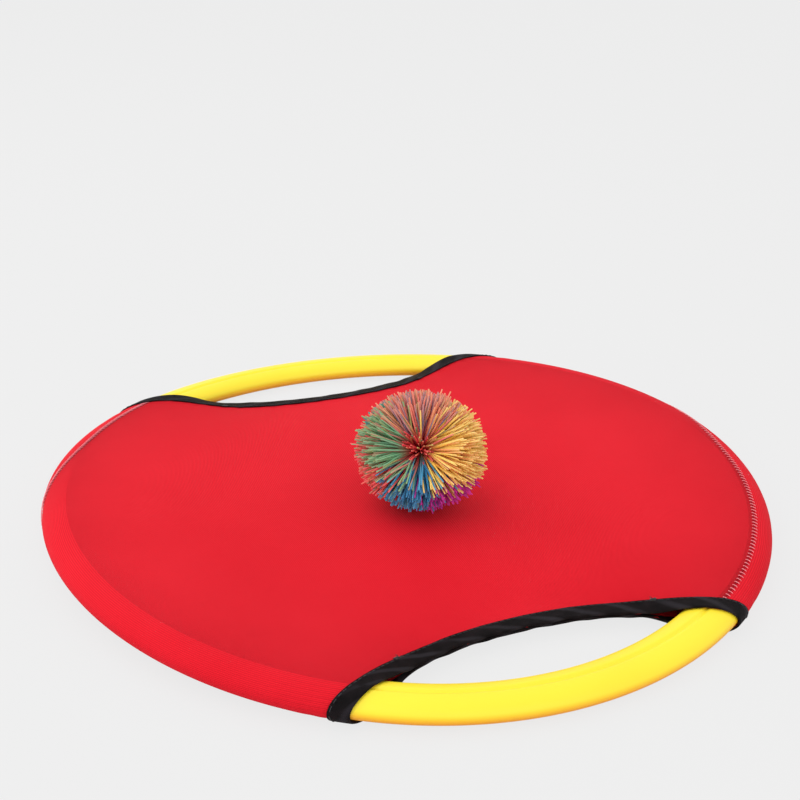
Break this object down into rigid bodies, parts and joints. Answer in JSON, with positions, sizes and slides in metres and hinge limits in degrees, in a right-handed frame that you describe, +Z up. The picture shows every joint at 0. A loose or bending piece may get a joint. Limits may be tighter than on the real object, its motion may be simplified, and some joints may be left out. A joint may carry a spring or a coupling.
{
  "type": "bouncy paddle ball set",
  "caption": "Round hoop paddle in a stretched fabric cover with two open hand grips, and a rubber strand ball resting on it.",
  "frame": {"origin": "under the middle of the paddle, on the surface that it rests on", "axes": "+Z up out of the paddle's face, -Y to the front hand grip, +Y to the rear one, +X and -X to the covered rims"},
  "size_m": [0.362, 0.3596, 0.0742],
  "materials": {
    "yellow_plastic": "satin moulded plastic",
    "red_fabric": "fine rib stretch knit with a soft sheen",
    "red_thread": "overlock thread",
    "black_tape": "woven binding tape",
    "black_thread": "sewing thread",
    "grey_tie": "plain band",
    "yellow_rubber": "soft rubber strands",
    "orange_rubber": "soft rubber strands",
    "red_rubber": "soft rubber strands",
    "green_rubber": "soft rubber strands",
    "blue_rubber": "soft rubber strands",
    "purple_rubber": "soft rubber strands",
    "mauve_rubber": "soft rubber strands",
    "teal_rubber": "soft rubber strands"
  },
  "bodies": {
    "root": {"hoop": "yellow_plastic", "cover_top_panel": "red_fabric", "cover_bottom_panel": "red_fabric", "left_seam_thread": "red_thread", "right_seam_thread": "red_thread", "front_binding": "black_tape", "rear_binding": "black_tape", "front_left_tack": "black_thread", "front_right_tack": "black_thread", "rear_left_tack": "black_thread", "rear_right_tack": "black_thread", "ball_tie": "grey_tie", "ball_strands_yellow": "yellow_rubber", "ball_strands_orange": "orange_rubber", "ball_strands_red": "red_rubber", "ball_strands_green": "green_rubber", "ball_strands_blue": "blue_rubber", "ball_strands_purple": "purple_rubber", "ball_strands_mauve": "mauve_rubber", "ball_strands_teal": "teal_rubber"}
  },
  "joints": []
}
